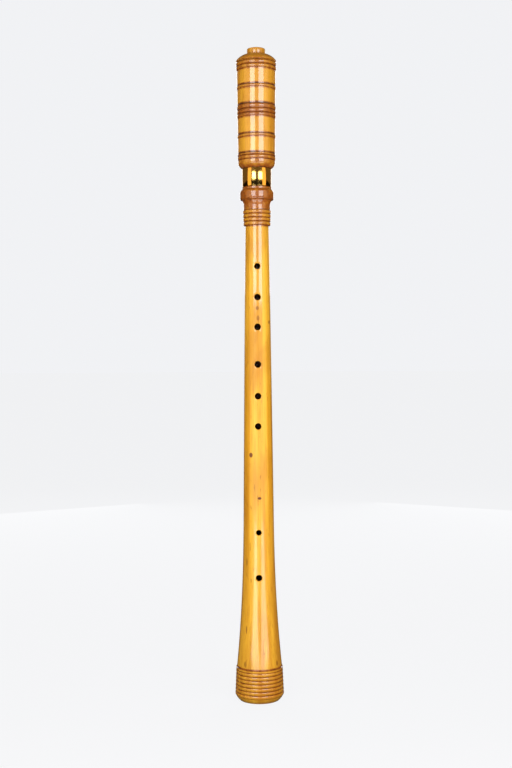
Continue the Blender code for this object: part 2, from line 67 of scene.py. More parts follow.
# Fits and heights of the CAD model
GAP = 0.0003
LIP_Z = 0.0047
BELL_RING_COUNT = 7
BELL_RING_PITCH = 0.00335
BAND_Z = LIP_Z + BELL_RING_COUNT * BELL_RING_PITCH
BELL_TOP_Z = BAND_Z + 0.0023
WAIST_Z = BELL_TOP_Z + 0.1350
BODY_TOP_Z = BELL_TOP_Z + 0.4061
NECK_RING_COUNT = 4
NECK_RING_PITCH = 0.00358
NECK_Z = BODY_TOP_Z + NECK_RING_COUNT * NECK_RING_PITCH
COVE_Z = NECK_Z + 0.0039
COLLAR_Z = COVE_Z + 0.0053
COLLAR_FACE_Z = COLLAR_Z + 0.0024
COLLAR_SHOULDER_Z = COLLAR_FACE_Z + 0.0045
COLLAR_FILLET_Z = COLLAR_SHOULDER_Z + 0.0031
SEAT_Z = COLLAR_FILLET_Z + 0.0018
TENON_TOP_Z = SEAT_Z + 0.0220
TENON_END = 0.0035
TENON_EDGE = 0.0008
WELL_FLOOR_Z = TENON_TOP_Z - 0.0160
CAP_Z = SEAT_Z + GAP
TAIL_Z = CAP_Z + 0.0006
SOCKET_TOP_Z = TENON_TOP_Z + 0.0020
CHAMBER_Z = SOCKET_TOP_Z + 0.0020
FERRULE_TOP_Z = CAP_Z + 0.0167
RIM_Z = FERRULE_TOP_Z + GAP
RIM_FACE_Z = RIM_Z + 0.0048
LOW_BEADS_Z = RIM_FACE_Z + 0.0026
LOW_STRETCH_Z = LOW_BEADS_Z + sum(LOW_BEADS)
LOW_THIN_Z = LOW_STRETCH_Z + 0.0147
MIDDLE_BEADS_Z = LOW_THIN_Z + sum(THIN_BEAD) + 0.0155
HIGH_STRETCH_Z = MIDDLE_BEADS_Z + sum(MIDDLE_BEADS)
HIGH_THIN_Z = HIGH_STRETCH_Z + 0.0148
TOP_BEADS_Z = HIGH_THIN_Z + sum(THIN_BEAD) + 0.0146
BARREL_TOP_Z = TOP_BEADS_Z + sum(TOP_BEADS)
HEAD_Z = BARREL_TOP_Z + GAP
SPIGOT_Z = HEAD_Z - 0.0120
BLOW_CONE_TOP_Z = HEAD_Z - 0.0060
SHOULDER_Z = HEAD_Z + 0.0010
NOZZLE_Z = SHOULDER_Z + 0.0067
TOP_Z = NOZZLE_Z + 0.0052
STAPLE_Z = WELL_FLOOR_Z + GAP
CORK_TOP_Z = STAPLE_Z + 0.0175
STAPLE_TOP_Z = STAPLE_Z + 0.0420
BLADE_Z = STAPLE_TOP_Z - 0.0150
BLADE_TOP_Z = BLADE_Z + 0.0400
BINDING_Z = BLADE_Z + GAP
BINDING_TOP_Z = BINDING_Z + 0.0130
WIRE_Z = BINDING_TOP_Z + 0.0030

# Radii of the CAD model
FOOT_R = 0.0184
MOUTH_R = 0.0162
LIP_R = 0.0219
LIP_BULGE = 0.0004
BELL_RING_LOW_R = 0.0225
BELL_RING_HIGH_R = 0.0215
BELL_RING_RISE = 0.0007
BELL_NECK_R = 0.0208
BELL_BAND_R = BELL_NECK_R + 0.0006
WAIST_R = 0.0140
BODY_TOP_R = 0.0108
NECK_RING_LOW_R = 0.0126
NECK_RING_HIGH_R = 0.0131
NECK_RING_RISE = 0.0009
NECK_R = 0.01225
COVE_TOP_R = 0.0139
COLLAR_R = 0.0156
COLLAR_UNDER_R = 0.0144
FILLET_R = 0.0135
FERRULE_LOW_R = 0.01325
FERRULE_HIGH_R = 0.01355
FERRULE_BORE_R = 0.01255
FERRULE_EDGE = 0.0003
FERRULE_CORNER = 0.0001
TAIL_R = FERRULE_BORE_R - GAP
SOCKET_R = TAIL_R - 0.0015
LAPPING_R = SOCKET_R - GAP
LAPPING_THICKNESS = 0.0009
TENON_R = LAPPING_R - 0.0002
RECESS_R = LAPPING_R - 0.0012
RIM_R = 0.0172
BARREL_FOOT_R = 0.0171
BARREL_TOP_R = 0.0180
CHAMBER_R = 0.0120
SPIGOT_R = CHAMBER_R - GAP
SPIGOT_EDGE = 0.0004
SHOULDER_R = 0.01865
NOZZLE_R = 0.0085
NOZZLE_ROUND = 0.0009
BLOW_HOLE_R = 0.0040
BLOW_HOLE_ROUND = 0.0008
BLOW_CONE_R = 0.0080
BORE_TOP_R = 0.0026
BORE_WAIST_R = 0.0091
WELL_R = 0.0050
CORK_R = WELL_R - GAP
CORK_EDGE = 0.0004
STAPLE_FOOT_R = 0.0031
STAPLE_TOP_R = 0.0022
STAPLE_WALL = 0.0005
BINDING_THICKNESS = 0.0008
WIRE_R = 0.00034
WIRE_CENTRE = 0.00035

# Curves of the CAD model's body and bore
BODY_POWER = 0.9
FLARE_POWER = 2.3
BORE_POWER = 1.7

# Reed blades: the share is what is left of the cane at the tip, the fit keeps it off its neighbours
BLADE_THICKNESS = 0.0007
BLADE_HALF_ANGLE = math.radians(86)
BLADE_TIP_SHARE = 0.45
BLADE_FIT = 0.97
TIP_HALF_WIDTH = 0.0050
TIP_DEPTH = 0.0008
TIP_EDGE = 0.0004

# Windings: turns and how far the thread's crowns stand out
WINDING_TURNS = 22
LAPPING_RIB = 0.00018
BINDING_RIB = 0.00022

# Finger holes: height, diameter and side of the pipe
HOLES = [
    (0.3986, 0.0054, -1),
    (0.3703, 0.0058, -1),
    (0.3430, 0.0060, -1),
    (0.3087, 0.0060, -1),
    (0.2796, 0.0059, -1),
    (0.2520, 0.0059, -1),
    (0.1550, 0.0050, -1),
    (0.1138, 0.0057, -1),
    (0.4106, 0.0056, 1),
]
HOLE_ROUND = 0.0005
HOLE_ROUND_ANGLE = math.radians(74)
DRILL_FLARE = 1.25 * HOLE_ROUND
DRILL_SKIN = 0.12 * HOLE_ROUND
DRILL_REACH = 0.0020

# Detail
TURN_STEPS = 96
SMALL_STEPS = 64
HOLE_STEPS = 48
BEAD_STEPS = 8
ROUND_STEPS = 8
BLOW_HOLE_STEPS = 5
COVE_STEPS = 10
CORNER_STEPS = 12
SHOULDER_STEPS = 16
WINDING_ROWS = 8
WIRE_STEPS = 96
WIRE_SIDES = 12
BLADE_ROWS = 36
BLADE_COLUMNS = 24
ROW_HEIGHT = 0.0020
SHARP_ANGLE = math.radians(38)
WINDING_SHARP_ANGLE = math.radians(60)
WELD_DISTANCE = 0.0000005
SAME_POINT = 0.000001

# Stain and painted shade, from 0 on clean wood to 1 in a dirty groove that is also painted dark as
# shade: crests of the rings and beads, and other places
BEAD_CREST = 0.25
BELL_CREST = 0.16
NECK_CREST = 0.24
LOW_CREST = 0.32
MIDDLE_CREST = 0.40
TOP_CREST = 0.28
SHOULDER_STAIN = 0.20
# The collar's face is darkened with stain and painted shade
COLLAR_STAIN_AND_SHADE = 0.55
BAND_STAIN = 0.14
# Walls of the finger holes, deeper than this from either surface, are painted dark as shade
HOLE_WALL_SHADE = 0.9
HOLE_WALL_SHADE_DEPTH = 0.0006

# Wood, from its palest streaks to the dirt and painted shade in its grooves
PALE_STREAK = (0.78, 0.445, 0.030, 1)
HONEY = (0.60, 0.285, 0.010, 1)
DEEP_HONEY = (0.52, 0.21, 0.012, 1)
AMBER = (0.45, 0.175, 0.004, 1)
FIBRE_BROWN = (0.36, 0.135, 0.003, 1)
STAIN_AND_SHADE_BROWN = (0.27, 0.068, 0.001, 1)
FLECK_BROWN = (0.26, 0.085, 0.002, 1)
KNOT_BROWN = (0.13, 0.028, 0.001, 1)
GROOVE_DIRT_AND_SHADE = (0.042, 0.009, 0.0005, 1)
CAP_WOOD_OFFSET = (3.1, 7.7, 1.3)
COAT_IOR = 1.6

# Brass, thread, cork and cane
POLISHED_BRASS = (0.87, 0.57, 0.15)
DULL_BRASS = (0.80, 0.56, 0.21)
RED_THREAD = (0.35, 0.05, 0.03)
DARK_THREAD = (0.16, 0.03, 0.02)
WORN_THREAD = (0.45, 0.24, 0.12, 1)
PALE_CORK = (0.58, 0.36, 0.18, 1)
DARK_CORK = (0.40, 0.22, 0.10, 1)
CORK_PORE = (0.12, 0.05, 0.02, 1)
CANE_BARK = (0.62, 0.42, 0.12, 1)
CANE_SCRAPE = (0.82, 0.66, 0.36, 1)
CANE_FIBRE = (0.45, 0.26, 0.08, 1)
CANE_PATCH = (0.52, 0.30, 0.10, 1)

# Knots, smudges and streaks in the pipe's wood: centre, half width, half height, strength
SPOTS = [
    ((-0.0067, -0.0114, 0.2258), 0.0022, 0.0028, 1.33),
    ((0.0009, -0.0137, 0.1864), 0.0022, 0.0016, 1.26),
    ((-0.0002, -0.0118, 0.3602), 0.0020, 0.0024, 0.63),
    ((0.0004, -0.0120, 0.3511), 0.0018, 0.0030, 0.49),
    ((0.0106, -0.0057, 0.3475), 0.0016, 0.0022, 0.84),
    ((-0.0110, -0.0098, 0.1277), 0.0010, 0.0048, 0.70),
    ((-0.0120, -0.0100, 0.1166), 0.0009, 0.0040, 0.63),
    ((-0.0115, -0.0130, 0.0660), 0.0011, 0.0052, 0.70),
    ((-0.0125, -0.0150, 0.0350), 0.0022, 0.0040, 0.56),
    ((0.0155, -0.0120, 0.0355), 0.0020, 0.0036, 0.63),
]
SPOT_CORE = 0.5

# Upright lights: azimuth and width in degrees, lowest and highest point, distance, radiance, colour
WHITE = (1.0, 1.0, 1.0)
WARM = (1.0, 0.60, 0.25)
SOFTBOXES = {
    "key_left": (-23.0, 28.0, 0.48, 1.12, 1.6, 6.0, WHITE),
    "key_right": (28.6, 29.6, 0.48, 1.12, 1.6, 6.0, WHITE),
    "card_left": (-61.0, 30.0, 0.0, 2.0, 1.6, 1.5, WARM),
    "card_right": (61.0, 30.0, 0.0, 2.0, 1.6, 1.5, WARM),
    "back_left": (-165.0, 12.0, 0.48, 1.12, 1.8, 3.0, WHITE),
    "back_right": (165.0, 12.0, 0.48, 1.12, 1.8, 3.0, WHITE),
}
# The same, for lights that only reach the matt colour and leave no streak in the varnish
FILLS = {
    "fill_left": (-23.0, 30.0, 0.0, 0.30, 0.4, 3.9, WHITE),
    "fill_right": (28.6, 30.0, 0.0, 0.30, 0.4, 3.9, WHITE),
    "fill_back_left": (-150.0, 40.0, 0.0, 1.2, 1.4, 3.0, WHITE),
    "fill_back_right": (150.0, 40.0, 0.0, 1.2, 1.4, 3.0, WHITE),
}
# Lights on the floor: azimuth and width in degrees, nearest and farthest point, radiance
FLOOR_LIGHTS = {
    "floor_left": (-23.0, 26.0, 0.45, 1.35, 3.0),
    "floor_right": (28.6, 28.0, 0.45, 1.35, 3.0),
}
FLOOR_LIGHT_Z = 0.004

# Surroundings
BACKDROP = (0.880, 0.888, 0.909, 1)
ROOM = (1.0, 0.66, 0.34, 1)
ROOM_IN_REFLECTIONS = 0.16
ROOM_ON_MATT = 0.14
FLOOR_REACH = 30.0
FLOOR_GREY = (0.045, 0.045, 0.045, 1)
FLOOR_GLOW = (0.868, 0.876, 0.893, 1)
FLOOR_BOUNCE = 0.3


def blend(start, end, share):
    return start + (end - start) * share


def body_r(z):
    """Outside of the pipe between the bell band and the neck rings."""
    cone_length = BODY_TOP_Z - WAIST_Z
    growth = WAIST_R - BODY_TOP_R
    cone = BODY_TOP_R + growth * (max(BODY_TOP_Z - z, 0.0) / cone_length) ** BODY_POWER
    if z >= WAIST_Z:
        return cone
    foot = BODY_TOP_R + growth * ((BODY_TOP_Z - BELL_TOP_Z) / cone_length) ** BODY_POWER
    return cone + (BELL_NECK_R - foot) * ((WAIST_Z - z) / (WAIST_Z - BELL_TOP_Z)) ** FLARE_POWER


def bore_r(z):
    if z >= WAIST_Z:
        return blend(BORE_WAIST_R, BORE_TOP_R, (z - WAIST_Z) / (WELL_FLOOR_Z - WAIST_Z))
    return blend(BORE_WAIST_R, MOUTH_R, ((WAIST_Z - z) / WAIST_Z) ** BORE_POWER)


def barrel_r(z):
    return blend(BARREL_FOOT_R, BARREL_TOP_R, (z - RIM_Z) / (BARREL_TOP_Z - RIM_Z))


def staple_r(z):
    return blend(STAPLE_FOOT_R, STAPLE_TOP_R, (z - STAPLE_Z) / (STAPLE_TOP_Z - STAPLE_Z))


def bead(z, height, low_r, high_r, rise, crest):
    """Points (radius, height, stain and painted shade) up a half-round bead between two grooves that
    are stained and painted dark with shade.
    """
    points = []
    for step in range(BEAD_STEPS + 1):
        angle = math.pi * step / BEAD_STEPS
        share = (1 - math.cos(angle)) / 2
        out = math.sin(angle)
        # Towards the grooves the bead darkens with stain and with painted shade on its flanks
        stain_and_shade = blend(crest, 1.0, (1 - out) ** 1.5)
        points.append((blend(low_r, high_r, share) + rise * out, z + height * share, stain_and_shade))
    return points


def ring_stack(z, count, pitch, low_r, high_r, rise, crest):
    """Equal rings on one another, whose crests run from the low radius to the high one."""
    points = []
    for ring in range(count):
        low = blend(low_r, high_r, ring / count) - rise
        high = blend(low_r, high_r, (ring + 1) / count) - rise
        points += bead(z + ring * pitch, pitch, low, high, rise, crest)
    return points


def bead_group(z, heights, rise, groove, crest=BEAD_CREST):
    """Beads on the windcap's barrel, with their grooves sunk into it."""
    points = []
    for height in heights:
        low = barrel_r(z) - groove
        high = barrel_r(z + height) - groove
        points += bead(z, height, low, high, rise + groove, crest)
        z += height
    return points


def rows(low_z, high_z, radius, stain_and_shade=0.0):
    """Points up a plain stretch, close enough for holes and for the shading."""
    count = max(2, round((high_z - low_z) / ROW_HEIGHT))
    heights = [blend(low_z, high_z, step / count) for step in range(count + 1)]
    return [(radius(z), z, stain_and_shade) for z in heights]


def edge_darkened(points, reach, amount):
    """Adds stain and painted shade to a stretch near its two ends, as varnish and dirt gather at a
    bead and shade falls in the crease beside it.
    """
    low_z = points[0][1]
    high_z = points[-1][1]
    result = []
    for radius, z, stain_and_shade in points:
        near = min(z - low_z, high_z - z)
        result.append((radius, z, max(stain_and_shade, amount * math.exp(-near / reach))))
    return result


def barrel_stretch(low_z, high_z):
    """Plain wood between two groups of beads on the barrel."""
    return edge_darkened(rows(low_z, high_z, barrel_r), 0.0004, 0.5)


def soft_corner(low_r, low_z, high_r, high_z, stain_and_shade, steps, curve=1.5):
    """A full, rounded shoulder between two points."""
    points = []
    for step in range(steps + 1):
        angle = math.pi / 2 * step / steps
        out = max(math.cos(angle), 0.0) ** (2 / curve)
        up = math.sin(angle) ** (2 / curve)
        points.append((blend(high_r, low_r, out), blend(low_z, high_z, up), stain_and_shade))
    return points


def rounded_edge(edge_r, top_z, size, steps, stain_and_shade=0.0):
    """A quarter round up to a flat top. It opens outwards, or closes in if its size is negative."""
    points = []
    for step in range(steps + 1):
        angle = math.pi / 2 * step / steps
        radius = edge_r + size * (1 - math.cos(angle))
        z = top_z - abs(size) * (1 - math.sin(angle))
        points.append((radius, z, stain_and_shade * (1 - step / steps)))
    return points


def collar_outline():
    """The cove over the neck rings, the collar's face and its shoulder up to the seat."""
    # The crease at the neck and the top of the cove under the collar are painted dark with shade
    points = [(NECK_R, NECK_Z, 0.8), (NECK_R, NECK_Z + 0.0006, 0.40)]
    for step in range(COVE_STEPS + 1):
        share = step / COVE_STEPS
        radius = blend(NECK_R, COVE_TOP_R, share**2)
        points.append((radius, blend(COVE_Z, COLLAR_Z, share), blend(0.40, 0.66, share**3)))
    # The underside of the collar's rim is painted dark as its shadow, and its face takes stain and
    # painted shade
    for step in range(ROUND_STEPS + 1):
        angle = math.pi / 2 * step / ROUND_STEPS
        radius = blend(COLLAR_UNDER_R, COLLAR_R, math.sin(angle))
        z = blend(COLLAR_FACE_Z, COLLAR_Z, math.cos(angle))
        points.append((radius, z, max(COLLAR_STAIN_AND_SHADE, 0.9 * (1 - step / 4))))
    points.append((COLLAR_R, COLLAR_SHOULDER_Z - 0.0004, 0.54))
    points += soft_corner(
        COLLAR_R, COLLAR_SHOULDER_Z, FILLET_R, COLLAR_FILLET_Z, 0.40, CORNER_STEPS
    )
    points.append((FILLET_R, SEAT_Z - 0.0003, 0.5))
    points.append((FILLET_R - 0.0003, SEAT_Z, 0.7))
    return points


def pipe_outline():
    points = []
    for step in range(ROUND_STEPS + 1):
        share = step / ROUND_STEPS
        radius = blend(FOOT_R, LIP_R, share) + LIP_BULGE * math.sin(math.pi * share)
        points.append((radius, LIP_Z * share, 0.02 + 0.3 * (1 - share) ** 4))
    points += ring_stack(
        LIP_Z, BELL_RING_COUNT, BELL_RING_PITCH,
        BELL_RING_LOW_R, BELL_RING_HIGH_R, BELL_RING_RISE, BELL_CREST,
    )
    points.append((BELL_BAND_R, BAND_Z, 0.8))
    points.append((BELL_BAND_R, BAND_Z + 0.0005, BAND_STAIN))
    points.append((BELL_BAND_R, BELL_TOP_Z - 0.0005, BAND_STAIN))
    points.append((BELL_BAND_R, BELL_TOP_Z - 0.0003, 0.4))
    points += edge_darkened(rows(BELL_TOP_Z, BODY_TOP_Z, body_r), 0.0006, 0.8)
    points += ring_stack(
        BODY_TOP_Z, NECK_RING_COUNT, NECK_RING_PITCH,
        NECK_RING_LOW_R, NECK_RING_HIGH_R, NECK_RING_RISE, NECK_CREST,
    )
    points += collar_outline()
    points.append((TENON_R, SEAT_Z, 0.3))
    points.append((TENON_R, SEAT_Z + TENON_END, 0.0))
    points.append((RECESS_R, SEAT_Z + TENON_END, 0.3))
    points.append((RECESS_R, TENON_TOP_Z - TENON_END, 0.3))
    points.append((TENON_R, TENON_TOP_Z - TENON_END, 0.0))
    points.append((TENON_R, TENON_TOP_Z - TENON_EDGE, 0.0))
    points.append((TENON_R - TENON_EDGE, TENON_TOP_Z, 0.0))
    return points


def pipe_bore():
    # The bore is painted darker, as shade inside the pipe
    points = [(MOUTH_R + 0.0006, 0.0, 0.5)]
    points += rows(0.0006, WAIST_Z, bore_r, 0.6)
    points += rows(WAIST_Z, WELL_FLOOR_Z, bore_r, 0.8)[1:]
    points.append((WELL_R, WELL_FLOOR_Z, 0.5))
    points.append((WELL_R, TENON_TOP_Z, 0.0))
    return points


def barrel_outline():
    points = [(TAIL_R, TAIL_Z, 0.0), (TAIL_R, RIM_Z, 0.2)]
    for step in range(COVE_STEPS + 1):
        share = step / COVE_STEPS
        radius = blend(FERRULE_HIGH_R, RIM_R, math.sin(math.pi / 2 * share))
        points.append((radius, blend(RIM_Z, RIM_FACE_Z, share), 0.32 + 0.4 * (1 - share) ** 3))
    points.append((RIM_R, LOW_BEADS_Z - 0.0008, 0.28))
    points.append((RIM_R, LOW_BEADS_Z - GROOVE, 0.5))
    points += bead_group(LOW_BEADS_Z, LOW_BEADS, BEAD_RISE, GROOVE, LOW_CREST)
    points += barrel_stretch(LOW_STRETCH_Z, LOW_THIN_Z)
    points += bead_group(LOW_THIN_Z, THIN_BEAD, BEAD_RISE, THIN_GROOVE)
    points += barrel_stretch(LOW_THIN_Z + sum(THIN_BEAD), MIDDLE_BEADS_Z)
    points += bead_group(MIDDLE_BEADS_Z, MIDDLE_BEADS, BEAD_RISE, GROOVE, MIDDLE_CREST)
    points += barrel_stretch(HIGH_STRETCH_Z, HIGH_THIN_Z)
    points += bead_group(HIGH_THIN_Z, THIN_BEAD, BEAD_RISE, THIN_GROOVE)
    points += barrel_stretch(HIGH_THIN_Z + sum(THIN_BEAD), TOP_BEADS_Z)
    points += bead_group(TOP_BEADS_Z, TOP_BEADS, TOP_BEAD_RISE, GROOVE, TOP_CREST)
    return points


def barrel_bore():
    # The socket and chamber are painted a little darker, as shade inside the windcap
    return [
        (SOCKET_R, TAIL_Z, 0.2),
        (SOCKET_R, SOCKET_TOP_Z, 0.3),
        (CHAMBER_R, CHAMBER_Z, 0.3),
        (CHAMBER_R, BARREL_TOP_Z, 0.2),
    ]


def head_outline():
    points = [
        (SPIGOT_R - SPIGOT_EDGE, SPIGOT_Z, 0.0),
        (SPIGOT_R, SPIGOT_Z + SPIGOT_EDGE, 0.0),
        (SPIGOT_R, HEAD_Z, 0.2),
        (BARREL_TOP_R - GROOVE, HEAD_Z, 1.0),
        (SHOULDER_R - 0.0002, SHOULDER_Z - 0.0003, 0.5),
    ]
    points += soft_corner(
        SHOULDER_R, SHOULDER_Z, NOZZLE_R, NOZZLE_Z, SHOULDER_STAIN, SHOULDER_STEPS
    )
    points.append((NOZZLE_R, NOZZLE_Z + 0.0004, 0.4))
    points.append((NOZZLE_R, NOZZLE_Z + 0.0012, 0.04))
    points += rounded_edge(NOZZLE_R, TOP_Z, -NOZZLE_ROUND, ROUND_STEPS)
    return points


def head_bore():
    # The blow cone and the blow hole's rim are painted darker, as shade inside the head
    points = [(BLOW_CONE_R, SPIGOT_Z, 0.3), (BLOW_HOLE_R, BLOW_CONE_TOP_Z, 0.6)]
    points += rounded_edge(BLOW_HOLE_R, TOP_Z, BLOW_HOLE_ROUND, BLOW_HOLE_STEPS, 0.5)
    return points


def finish_mesh(obj, stain_and_shade=None, smooth_angle=SHARP_ANGLE):
    """Turns the faces out, shades them by angle and stores the stain and painted shade of each
    vertex.
    """
    shape = bmesh.new()
    shape.from_mesh(obj.data)
    bmesh.ops.remove_doubles(shape, verts=shape.verts, dist=WELD_DISTANCE)
    bmesh.ops.recalc_face_normals(shape, faces=shape.faces)
    shape.to_mesh(obj.data)
    shape.free()
    obj.data.shade_smooth()
    obj.data.set_sharp_from_angle(angle=smooth_angle)
    if stain_and_shade is not None:
        layer = obj.data.attributes.new("stain_and_shade", "FLOAT", "POINT")
        values = [stain_and_shade(vertex.co) for vertex in obj.data.vertices]
        layer.data.foreach_set("value", values)


def make_object(name, vertices, faces, material):
    mesh = bpy.data.meshes.new(name)
    mesh.from_pydata(vertices, [], faces)
    mesh.materials.append(material)
    obj = bpy.data.objects.new(name, mesh)
    bpy.context.scene.collection.objects.link(obj)
    return obj


def grid_faces(row_count, steps):
    """Quads of a tube whose rows close on themselves both ways."""
    faces = []
    for row in range(row_count):
        low = row * steps
        high = (row + 1) % row_count * steps
        for step in range(steps):
            following = (step + 1) % steps
            faces.append((low + step, low + following, high + following, high + step))
    return faces


def spin(name, outline, bore, steps, material):
    """A hollow turned piece from its outline and its bore, both listed from the bottom up."""
    loop = []
    for point in list(reversed(outline)) + bore:
        if not loop or math.dist(point[:2], loop[-1][:2]) > SAME_POINT:
            loop.append(point)
    angles = [2 * math.pi * step / steps for step in range(steps)]
    vertices = [(r * math.cos(a), r * math.sin(a), z) for r, z, _ in loop for a in angles]
    return make_object(name, vertices, grid_faces(len(loop), steps), material)


def profile_stain_and_shade(outline, bore):
    """The stain and painted shade at a vertex: its side's value at that height, or a hole's wall
    painted dark as shade.
    """
    sides = []
    for points in (outline, bore):
        # Equal heights are set a nanometre apart, so that they rise as the interpolation asks
        heights = np.array([p[1] for p in points]) + np.arange(len(points)) * 1e-9
        sides.append((heights, np.array([p[0] for p in points]), np.array([p[2] for p in points])))

    def stain_and_shade(place):
        radius = math.hypot(place.x, place.y)
        outer, inner = sides
        outside_r = np.interp(place.z, outer[0], outer[1])
        inside_r = np.interp(place.z, inner[0], inner[1])
        nearer = outer if abs(radius - outside_r) < abs(radius - inside_r) else inner
        value = float(np.interp(place.z, nearer[0], nearer[2]))
        # Inside a finger hole the wall is painted dark as shade
        if inside_r + HOLE_WALL_SHADE_DEPTH < radius < outside_r - HOLE_WALL_SHADE_DEPTH:
            return max(value, HOLE_WALL_SHADE)
        return value

    return stain_and_shade


def hole_cutter(z, diameter, side):
    """Rings of a drill whose rounded rim follows the pipe's surface all the way round."""
    radius = diameter / 2
    rings = [(radius, None)]
    for step in range(ROUND_STEPS):
        angle = HOLE_ROUND_ANGLE * step / (ROUND_STEPS - 1)
        depth = HOLE_ROUND * (1 - math.sin(angle))
        rings.append((radius + HOLE_ROUND * (1 - math.cos(angle)), depth))
    rings.append((radius + DRILL_FLARE, -DRILL_SKIN))
    rings.append((radius + DRILL_FLARE, -DRILL_REACH))
    vertices = []
    for ring_radius, depth in rings:
        for step in range(HOLE_STEPS):
            angle = 2 * math.pi * step / HOLE_STEPS
            x = ring_radius * math.cos(angle)
            height = z + ring_radius * math.sin(angle)
            surface = math.sqrt(body_r(height) ** 2 - x**2)
            y = 0.0 if depth is None else surface - depth
            vertices.append((x, side * y, height))
    # The last row of the closed grid joins the drill's two ends, so caps take its place
    faces = grid_faces(len(rings), HOLE_STEPS)[:-HOLE_STEPS]
    faces.append(tuple(range(HOLE_STEPS)))
    faces.append(tuple(range(len(vertices) - HOLE_STEPS, len(vertices))))
    return vertices, faces


def drill_holes(pipe):
    vertices = []
    faces = []
    for z, diameter, side in HOLES:
        new_vertices, new_faces = hole_cutter(z, diameter, side)
        faces += [tuple(index + len(vertices) for index in face) for face in new_faces]
        vertices += new_vertices
    cutter = make_object("drill", vertices, faces, pipe.data.materials[0])
    finish_mesh(cutter)
    cut = pipe.modifiers.new("holes", "BOOLEAN")
    cut.operation = "DIFFERENCE"
    cut.solver = "EXACT"
    cut.object = cutter
    depsgraph = bpy.context.evaluated_depsgraph_get()
    drilled = bpy.data.meshes.new_from_object(pipe.evaluated_get(depsgraph))
    pipe.modifiers.clear()
    pipe.data = drilled
    bpy.data.objects.remove(cutter, do_unlink=True)


def wound(name, low_z, high_z, inner_r, outer_r, rib, steps, material):
    """A tight winding: the thread's round turns climb round the sleeve in one helix."""
    row_count = WINDING_TURNS * WINDING_ROWS
    vertices = []
    for row in range(row_count + 1):
        z = blend(low_z, high_z, row / row_count)
        for step in range(steps):
            angle = 2 * math.pi * step / steps
            phase = WINDING_TURNS * row / row_count - step / steps
            share = phase - math.floor(phase)
            crown = math.sqrt(max(0.0, 1 - (2 * share - 1) ** 2))
            radius = outer_r - rib * (1 - crown)
            vertices.append((radius * math.cos(angle), radius * math.sin(angle), z))
    for z in (high_z, low_z):
        for step in range(steps):
            angle = 2 * math.pi * step / steps
            vertices.append((inner_r * math.cos(angle), inner_r * math.sin(angle), z))
    obj = make_object(name, vertices, grid_faces(row_count + 3, steps), material)
    finish_mesh(obj, smooth_angle=WINDING_SHARP_ANGLE)
    return obj


def blade_section(z):
    """A blade's inner half width, depth and edge height, from its round root to its flat tip."""
    root = staple_r(BLADE_Z) + GAP
    rise = max(0.0, (z - BINDING_TOP_Z) / (BLADE_TOP_Z - BINDING_TOP_Z))
    flat = rise * rise * (3 - 2 * rise)
    width = blend(root * math.sin(BLADE_HALF_ANGLE), TIP_HALF_WIDTH, flat)
    depth = blend(root, TIP_DEPTH, flat)
    edge = blend(root * math.cos(BLADE_HALF_ANGLE), TIP_EDGE, flat)
    return width, depth, edge


def reed_blade(name, side, material):
    """One cane blade, scraped thinner towards its wide tip."""
    half = BLADE_HALF_ANGLE
    inside = []
    outside = []
    for row in range(BLADE_ROWS + 1):
        share = row / BLADE_ROWS
        z = blend(BLADE_Z, BLADE_TOP_Z, share)
        width, depth, edge = blade_section(z)
        thick = BLADE_THICKNESS * blend(1.0, BLADE_TIP_SHARE, share**2) * BLADE_FIT
        for column in range(BLADE_COLUMNS + 1):
            angle = blend(-half, half, column / BLADE_COLUMNS)
            x = width * math.sin(angle) / math.sin(half)
            crown = (math.cos(angle) - math.cos(half)) / (1 - math.cos(half))
            y = blend(edge, depth, crown)
            out = Vector((math.sin(angle) / width, math.cos(angle) / depth)).normalized()
            inside.append((x, side * y, z))
            outside.append((x + thick * out.x, side * (y + thick * out.y), z))
    stride = BLADE_COLUMNS + 1
    shell = len(inside)
    faces = []
    for row in range(BLADE_ROWS):
        for column in range(BLADE_COLUMNS):
            a = row * stride + column
            b = a + shell
            faces.append((a, a + 1, a + stride + 1, a + stride))
            faces.append((b, b + stride, b + stride + 1, b + 1))
        for a in (row * stride, row * stride + BLADE_COLUMNS):
            faces.append((a, a + stride, a + stride + shell, a + shell))
    for row in (0, BLADE_ROWS):
        for column in range(BLADE_COLUMNS):
            a = row * stride + column
            faces.append((a, a + 1, a + 1 + shell, a + shell))
    obj = make_object(name, inside + outside, faces, material)
    finish_mesh(obj)
    return obj


def reed_wire(material):
    """A turn of wire that follows the blades' oval."""
    width, depth, _ = blade_section(WIRE_Z)
    reach = BLADE_THICKNESS + GAP + WIRE_CENTRE
    vertices = []
    for step in range(WIRE_STEPS):
        angle = 2 * math.pi * step / WIRE_STEPS
        out = Vector((math.cos(angle), math.sin(angle), 0.0))
        centre = Vector(((width + reach) * out.x, (depth + reach) * out.y, WIRE_Z))
        for side in range(WIRE_SIDES):
            turn = 2 * math.pi * side / WIRE_SIDES
            offset = WIRE_R * (out * math.cos(turn) + Vector((0.0, 0.0, math.sin(turn))))
            vertices.append(tuple(centre + offset))
    obj = make_object("wire_turn", vertices, grid_faces(WIRE_STEPS, WIRE_SIDES), material)
    finish_mesh(obj, smooth_angle=WINDING_SHARP_ANGLE)
    return obj


